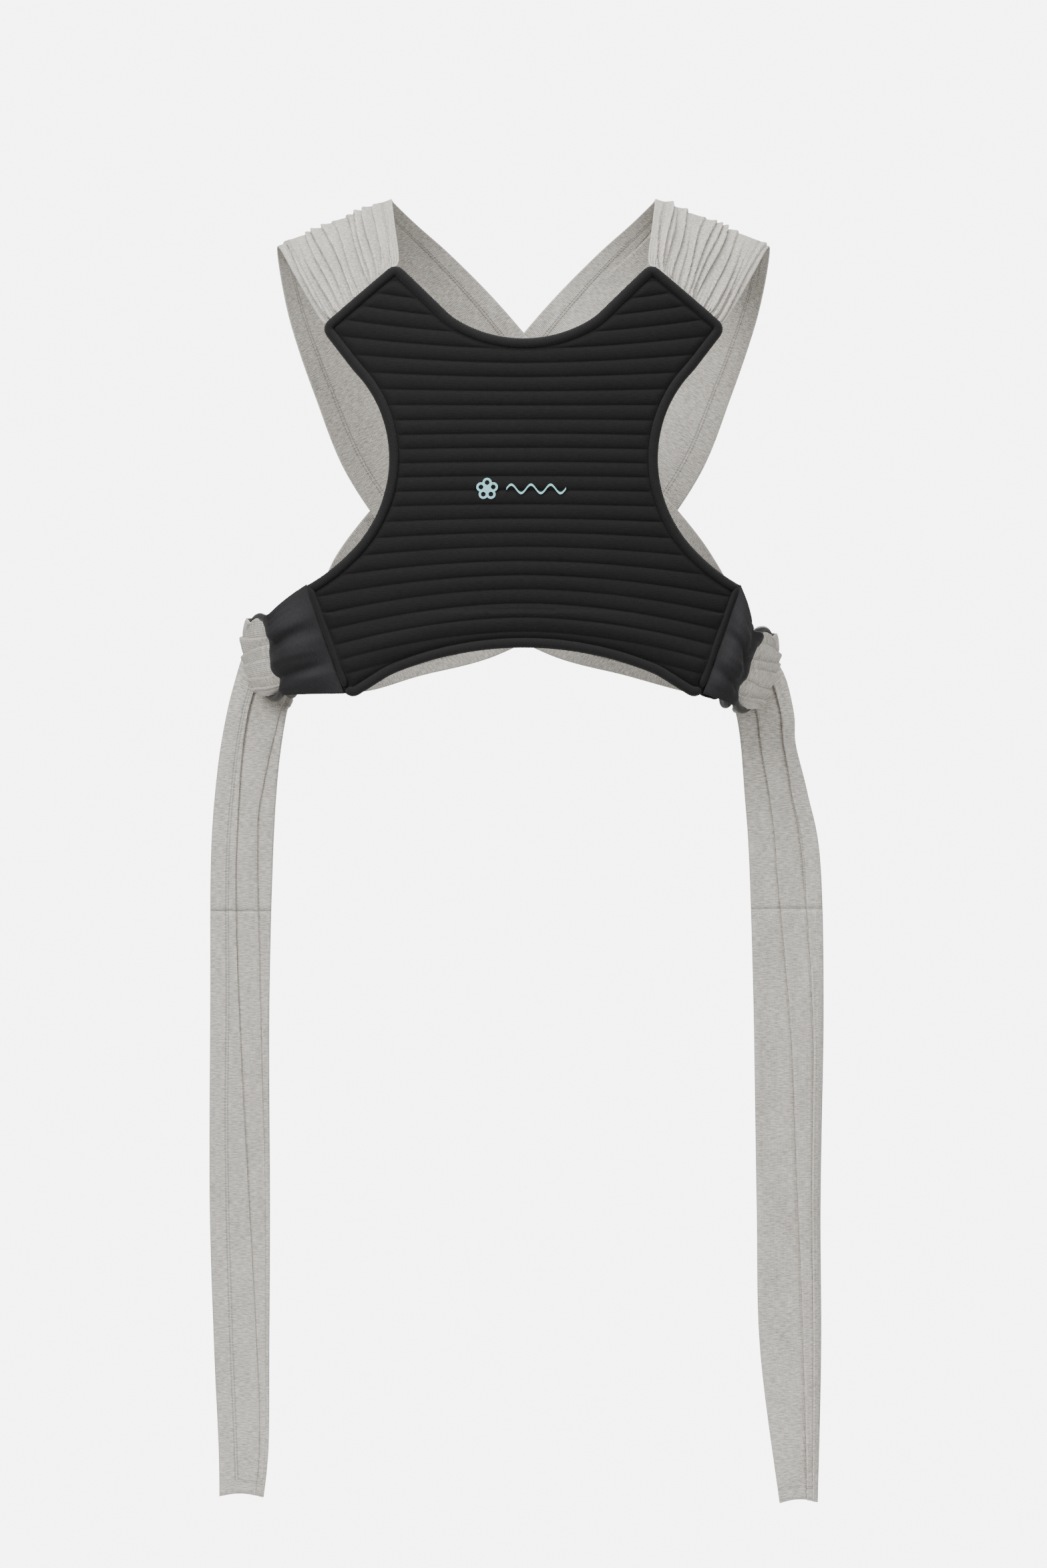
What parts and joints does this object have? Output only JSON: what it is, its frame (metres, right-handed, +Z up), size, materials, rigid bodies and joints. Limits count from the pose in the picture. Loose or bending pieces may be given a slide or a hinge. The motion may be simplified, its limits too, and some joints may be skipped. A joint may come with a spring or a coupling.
{
  "type": "soft baby carrier",
  "caption": "Quilted front panel carried by jersey straps that go over the shoulders, cross on the back and run through sling rings at the hips into hanging tails.",
  "frame": {"origin": "the middle of the shoulder line of the person who wears it, halfway between the two shoulder straps and level with the tops of the shoulders", "axes": "+Z up along the wearer's spine; the quilted panel faces -Y and the straps cross on the +Y side; +X is the side of the right-hand pieces as seen by someone who faces the panel"},
  "size_m": [0.629, 0.2509, 1.3328],
  "materials": {
    "quilted_jersey": "matte quilted cotton jersey",
    "padding_foam": "soft polyester wadding",
    "lining_jersey": "matte cotton jersey",
    "binding_jersey": "matte rolled jersey",
    "binding_wadding": "soft polyester cord wadding",
    "wing_jersey": "soft satin-sheen stretch jersey",
    "strap_jersey": "melange cotton jersey",
    "ring_plastic": "satin black moulded nylon",
    "embroidery_thread": "turquoise satin stitch",
    "label_satin": "woven satin"
  },
  "bodies": {
    "carrier": {"quilted_front": "quilted_jersey", "padding": "padding_foam", "lining": "lining_jersey", "emblem": "embroidery_thread", "care_label": "label_satin", "upper_binding": "binding_jersey", "upper_binding_filler": "binding_wadding", "lower_binding": "binding_jersey", "lower_binding_filler": "binding_wadding", "left_strap_anchor": "strap_jersey", "left_shoulder_strap": "strap_jersey", "right_strap_anchor": "strap_jersey", "right_shoulder_strap": "strap_jersey"},
    "left_wing": {"left_wing": "wing_jersey", "left_back_ring": "ring_plastic", "left_strap_feed": "strap_jersey", "left_tail_bend": "strap_jersey"},
    "left_front_ring": {"left_front_ring": "ring_plastic", "left_ring_wrap": "strap_jersey"},
    "left_tail": {"left_tail": "strap_jersey"},
    "left_tail_end": {"left_tail_end": "strap_jersey"},
    "right_wing": {"right_wing": "wing_jersey", "right_back_ring": "ring_plastic", "right_strap_feed": "strap_jersey", "right_tail_bend": "strap_jersey"},
    "right_front_ring": {"right_front_ring": "ring_plastic", "right_ring_wrap": "strap_jersey"},
    "right_tail": {"right_tail": "strap_jersey"},
    "right_tail_end": {"right_tail_end": "strap_jersey"}
  },
  "joints": [
    {"name": "left_wing_swing", "type": "hinge", "parent": "carrier", "child": "left_wing", "pos_m": [-0.1975, -0.07196, -0.4305], "axis": [-0.3385, 0.1927, 0.921], "range_deg": [-5, 15]},
    {"name": "left_ring_lift", "type": "hinge", "parent": "left_wing", "child": "left_front_ring", "pos_m": [-0.23812, -0.05875, -0.43792], "axis": [-0.2164, 0, 0.9763], "range_deg": [0, 15]},
    {"name": "left_tail_swing", "type": "hinge", "parent": "left_wing", "child": "left_tail", "pos_m": [-0.272, 0.036, -0.505], "axis": [1, 0, 0], "range_deg": [-40, 45]},
    {"name": "left_tail_end_swing", "type": "hinge", "parent": "left_tail", "child": "left_tail_end", "pos_m": [-0.2885, 0.036, -0.905], "axis": [1, 0, 0], "range_deg": [-60, 60]},
    {"name": "right_wing_swing", "type": "hinge", "parent": "carrier", "child": "right_wing", "pos_m": [0.1975, -0.07196, -0.4305], "axis": [-0.3385, -0.1927, -0.921], "range_deg": [-5, 15]},
    {"name": "right_ring_lift", "type": "hinge", "parent": "right_wing", "child": "right_front_ring", "pos_m": [0.21091, -0.05875, -0.44834], "axis": [-0.2924, 0, -0.9563], "range_deg": [0, 15]},
    {"name": "right_tail_swing", "type": "hinge", "parent": "right_wing", "child": "right_tail", "pos_m": [0.2545, 0.036, -0.505], "axis": [1, 0, 0], "range_deg": [-40, 45]},
    {"name": "right_tail_end_swing", "type": "hinge", "parent": "right_tail", "child": "right_tail_end", "pos_m": [0.27625, 0.036, -0.905], "axis": [1, 0, 0], "range_deg": [-60, 60]}
  ]
}
